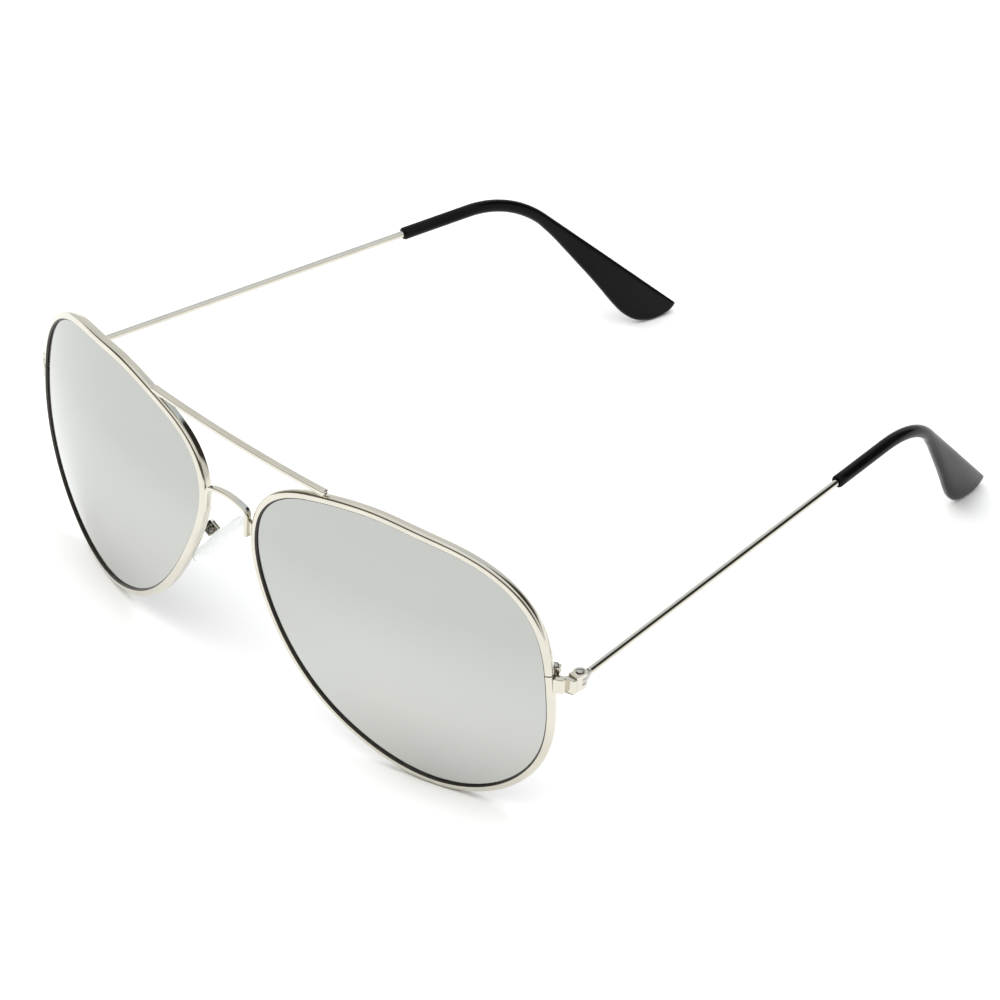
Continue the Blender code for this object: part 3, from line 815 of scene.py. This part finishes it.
def paddle_ring(past, width, thickness):
    """A section of the tip whose top edge is straight and whose lower edge flares."""
    _, _, sideways = temple_axes()
    place, heading = spine(PADDLE_START + past)
    upward = sideways.cross(heading)
    centre = place + upward * (SLEEVE_RADIUS - width / 2)
    power = 1.0 - PADDLE_FLATNESS * min(past / PADDLE_FLAT_FROM, 1.0)
    ring = []
    for i in range(WIRE_SIDES):
        angle = 2 * math.pi * (i + 0.5) / WIRE_SIDES
        c, s = math.cos(angle), math.sin(angle)
        x = math.copysign(abs(c) ** power, c) * thickness / 2
        y = math.copysign(abs(s) ** power, s) * width / 2
        ring.append(centre + sideways * x + upward * y)
    return ring


def tip_shape():
    """The black sleeve over the wire's end, flattened into a paddle, with its bore."""
    outer = [spine_ring(SLEEVE_START + distance, radius) for distance, radius in SLEEVE_MOUTH]
    run = stations(SLEEVE_START + 2, BEND_START, 5.0)
    run += stations(BEND_START + 1, PADDLE_START - 1, 1.0)
    outer += [spine_ring(distance, SLEEVE_RADIUS) for distance in run]
    last = PADDLE_STATIONS[-1][0]
    for past in stations(0, 28, 1.0) + stations(28.5, 34.5, 0.5) + stations(34.75, last, 0.2):
        outer.append(paddle_ring(past, *paddle_section(past)))
    outer += [paddle_ring(last + past, width, thickness) for past, width, thickness in PADDLE_NOSE]
    bore_run = [SLEEVE_START, *stations(BEND_START, PADDLE_START, 1.5),
                PADDLE_START + CORE_INTO_PADDLE + CORE_END_GAP]
    bore = [spine_ring(distance, SLEEVE_BORE) for distance in bore_run]
    return loft(list(reversed(outer)) + bore)


# Nose pads

def pad_shape():
    """A soft drop-shaped pad with a rounded edge, and the lug that its screw goes through."""
    body = through([Vector(ring) for ring in PAD_BODY], PAD_BODY_STEPS)
    made = []
    for height, half_length, half_width in list(PAD_LUG) + [tuple(ring) for ring in body]:
        ring = []
        for i in range(PAD_SIDES):
            angle = 2 * math.pi * i / PAD_SIDES
            taper = 1.0 - PAD_TAPER * math.cos(angle) if half_length > 1 else 1.0
            ring.append(PAD_CENTRE + PAD_NORMAL * height
                        + PAD_LONG * (half_length * math.cos(angle))
                        + PAD_ACROSS * (half_width * taper * math.sin(angle)))
        made.append(ring)
    return loft(made)


def arm_shape():
    """The pad's arm: a wire on one cubic curve from the rim's back to the pad's box."""
    start, end = ARM_FOOT, ARM_END
    near_start = start + ARM_FOOT_PULL
    near_end = end + ARM_END_PULL
    rings = []
    for i in range(ARM_STEPS + 1):
        t = i / ARM_STEPS
        place = (start * (1 - t) ** 3 + near_start * (3 * t * (1 - t) ** 2)
                 + near_end * (3 * t ** 2 * (1 - t)) + end * t ** 3)
        heading = ((near_start - start) * (1 - t) ** 2 + (near_end - near_start) * (2 * t * (1 - t))
                   + (end - near_end) * t ** 2).normalized()
        first = UP.cross(heading).normalized()
        rings.append(circle(place, first, heading.cross(first), ARM_RADIUS, ARM_SIDES))
    return loft(rings)


# Screws and solder

def saw_blade(top, axis, reach, depth, width, side):
    """A box to cut a driver slot with, across the top of a screw."""
    first = axis.orthogonal().normalized()
    second = axis.cross(first)
    section = [top + first * (reach * x) + second * (width / 2 * y)
               for x, y in ((1, 1), (-1, 1), (-1, -1), (1, -1))]
    shape = loft([[p - axis * depth for p in section], [p + axis * SAW_ABOVE for p in section]])
    mesh = mesh_of("saw", shape, side)
    face_outwards(mesh)
    blade = bpy.data.objects.new("saw", mesh)
    bpy.context.scene.collection.objects.link(blade)
    return blade


def slotted(name, foot, axis, profile, slot, nodes, side):
    """A turned screw with a driver slot sawn across its domed head."""
    made = piece(name, lathe(foot, axis, profile), STEEL_AND_HINGE_SHADE, "front_frame", nodes, side)
    reach = max(radius for _, radius in profile) * SAW_REACH
    blade = saw_blade(foot + axis * profile[-1][0], axis, reach, *slot, side)
    cut = made.modifiers.new("slot", "BOOLEAN")
    cut.operation = "DIFFERENCE"
    cut.object = blade
    cut.solver = "EXACT"
    bpy.context.view_layer.update()
    graph = bpy.context.evaluated_depsgraph_get()
    final = bpy.data.meshes.new_from_object(made.evaluated_get(graph))
    made.modifiers.clear()
    made.data = final
    final.shade_smooth()
    final.set_sharp_from_angle(angle=math.radians(SCREW_SHARP))
    bpy.data.objects.remove(blade, do_unlink=True)


def screws(side):
    """The hinge's screw, the rim lock's screw and the pad's screw of one side."""
    def named(name):
        return side_name(side, name)

    slotted(named("hinge_screw_turned"), at_height(HINGE, HINGE_SCREW_FOOT), UP, HINGE_SCREW,
            HINGE_SCREW_SLOT, (named("hinge_screw"),), side)
    out, back = lock_directions()
    lock = (dished(outline_point(SPLIT_ANGLE), 0.0) + out * LOCK_OUT
            + back * (RIM_DEPTH + LOCK_BEHIND))
    slotted(named("lock_screw_turned"), at_height(lock, LOCK_SCREW_FOOT), UP, LOCK_SCREW,
            LOCK_SCREW_SLOT, (named("rim_lock_screw"),), side)
    slotted(named("pad_screw_turned"), PAD_SCREW_FOOT, PAD_ACROSS, PAD_SCREW,
            PAD_SCREW_SLOT, (named("pad_screw"),), side)


def bead(name, centre, half_axes, side):
    """A smooth blob of solder: an ellipsoid with three half-axes."""
    a, b, c = half_axes
    rings = []
    for i in range(1, BEAD_STEPS):
        turn = math.pi * i / BEAD_STEPS
        middle = centre - a * math.cos(turn)
        rings.append([middle + (b * math.cos(s) + c * math.sin(s)) * math.sin(turn)
                      for s in (2 * math.pi * k / BEAD_SIDES for k in range(BEAD_SIDES))])
    piece(name, loft(rings), METAL, "front_frame", (), side)


def rim_near(place):
    """The point of the rim's outer side closest to a place."""
    spots = [dished(outline_point(2 * math.pi * i / RIM_SPOTS, RIM_WIDTH), -RIM_DEPTH / 2)
             for i in range(RIM_SPOTS)]
    return min(spots, key=lambda spot: (spot - place).length)


def solder(name, place, side, along, size):
    """A fillet of solder between a piece and the rim, stretched along the joint."""
    near = rim_near(place)
    out = near - place
    out = (out - along * out.dot(along)).normalized()
    half_axes = (along * size[0], out * size[1], along.cross(out) * size[2])
    bead(name, place.lerp(near, 0.5), half_axes, side)


# One side of the sunglasses, then the pieces that join the sides

def build_side(side):
    def named(name):
        return side_name(side, name)

    temple = named("temple")
    pad = named("pad")
    rim(side)
    lens(side)
    piece(named("endpiece_block"), endpiece_shape(), METAL, "front_frame",
          (named("endpiece"),), side, PLATE_SHARP)
    for node, width in SOFT_EDGES:
        softened(named(node), width, METAL, "front_frame")
    # The hinge barrels take the darker steel, partly as painted shade for the gaps between them.
    softened(named("temple_hinge"), TEMPLE_HINGE_EDGE, STEEL_AND_HINGE_SHADE, temple)

    piece(named("temple_rod"), wire_shape(), METAL, temple,
          (named("temple_wire"),), side, ROUND_SHARP)
    piece(named("tip_cover"), tip_shape(), PLASTIC, temple,
          (named("temple_tip"),), side, ROUND_SHARP)
    piece(named("silicone_pad"), pad_shape(), SILICONE, pad,
          (named("nose_pad"),), side, ROUND_SHARP)
    piece(named("bent_pad_arm"), arm_shape(), METAL, "front_frame",
          (named("pad_arm"),), side)

    solder(named("bar_solder"), BAR_JOINT, side, LEFT, BAR_BEAD)
    solder(named("bridge_solder"), BRIDGE_JOINT, side, UP, BRIDGE_BEAD)
    screws(side)


for side in (1, -1):
    build_side(side)
piece("brow_bar_strip", brow_bar_shape(), METAL, "front_frame", ("brow_bar",),
      sharp=ROUND_SHARP)
piece("bridge_strip", bridge_shape(), METAL, "front_frame", ("bridge",),
      sharp=ROUND_SHARP)


# Floor, light and camera

def floor():
    """A pale sheet at the height that the CAD model stands on."""
    mesh = bpy.data.meshes.new("floor")
    half, level = FLOOR_HALF, CAD_BOX[0][2]
    corners = [(-half, -half, level), (half, -half, level), (half, half, level),
               (-half, half, level)]
    mesh.from_pydata(corners, [], [(0, 1, 2, 3)])
    mesh.materials.append(floor_white())
    made = bpy.data.objects.new("floor", mesh)
    bpy.context.scene.collection.objects.link(made)


def softbox(name, place, size, power):
    """A round lamp aimed at the middle of the floor, which the mirrors don't show."""
    lamp = bpy.data.lights.new(name, "AREA")
    lamp.shape = "DISK"
    lamp.size = size
    lamp.energy = power
    made = bpy.data.objects.new(name, lamp)
    made.location = place
    made.rotation_euler = (-Vector(place)).to_track_quat("-Z", "Y").to_euler()
    made.visible_glossy = False
    bpy.context.scene.collection.objects.link(made)


def shaded(tree, room, where, remaining, limits):
    """The room's light with one darker part in it."""
    share = None
    for direction, start, full in limits:
        toward = tree.nodes.new("ShaderNodeVectorMath")
        toward.operation = "DOT_PRODUCT"
        toward.inputs[1].default_value = direction.normalized()
        tree.links.new(where, toward.inputs[0])
        near = ranged(tree, toward.outputs["Value"], start, full)
        if share is None:
            share = near
            continue
        both = tree.nodes.new("ShaderNodeMath")
        both.operation = "MULTIPLY"
        tree.links.new(share, both.inputs[0])
        tree.links.new(near, both.inputs[1])
        share = both.outputs["Value"]
    fade = tree.nodes.new("ShaderNodeMix")
    fade.data_type = "RGBA"
    fade.inputs["A"].default_value = (1, 1, 1, 1)
    fade.inputs["B"].default_value = (*remaining, 1)
    tree.links.new(share, fade.inputs["Factor"])
    dimmed = tree.nodes.new("ShaderNodeVectorMath")
    dimmed.operation = "MULTIPLY"
    tree.links.new(room, dimmed.inputs[0])
    tree.links.new(fade.outputs["Result"], dimmed.inputs[1])
    return dimmed.outputs["Vector"]


def studio_world():
    """A pale room, greyer low down and with dark parts that edge the polished metal.

    The camera itself sees an even pale backdrop."""
    world = bpy.data.worlds.new("studio")
    world.use_nodes = True
    bpy.context.scene.world = world
    tree = world.node_tree
    where = tree.nodes.new("ShaderNodeTexCoord").outputs["Generated"]
    split = tree.nodes.new("ShaderNodeSeparateXYZ")
    tree.links.new(where, split.inputs["Vector"])
    room = ramp(tree, split.outputs["Z"], 0.55, (0.76, 0.76, 0.75), 0.9, (1.0, 1.0, 1.0))
    for remaining, limits in SHADES:
        room = shaded(tree, room, where, remaining, limits)
    ray = tree.nodes.new("ShaderNodeLightPath")
    seen = mixed(tree, ray.outputs["Is Camera Ray"], room, BACKDROP)
    background = tree.nodes["Background"]
    tree.links.new(seen, background.inputs["Color"])
    background.inputs["Strength"].default_value = ROOM_STRENGTH


def camera():
    data = bpy.data.cameras.new("camera")
    data.lens = CAMERA_LENS
    data.sensor_width = 36.0
    data.clip_start = 0.05
    data.clip_end = 20.0
    made = bpy.data.objects.new("camera", data)
    made.location = (CAMERA_PLACE - FOOTPRINT_MIDDLE) * MM
    made.rotation_euler = [math.radians(turn) for turn in CAMERA_TURN]
    bpy.context.scene.collection.objects.link(made)
    bpy.context.scene.camera = made


floor()
studio_world()
for lamp in LAMPS:
    softbox(*lamp)
camera()
bpy.context.scene.view_settings.view_transform = "Standard"
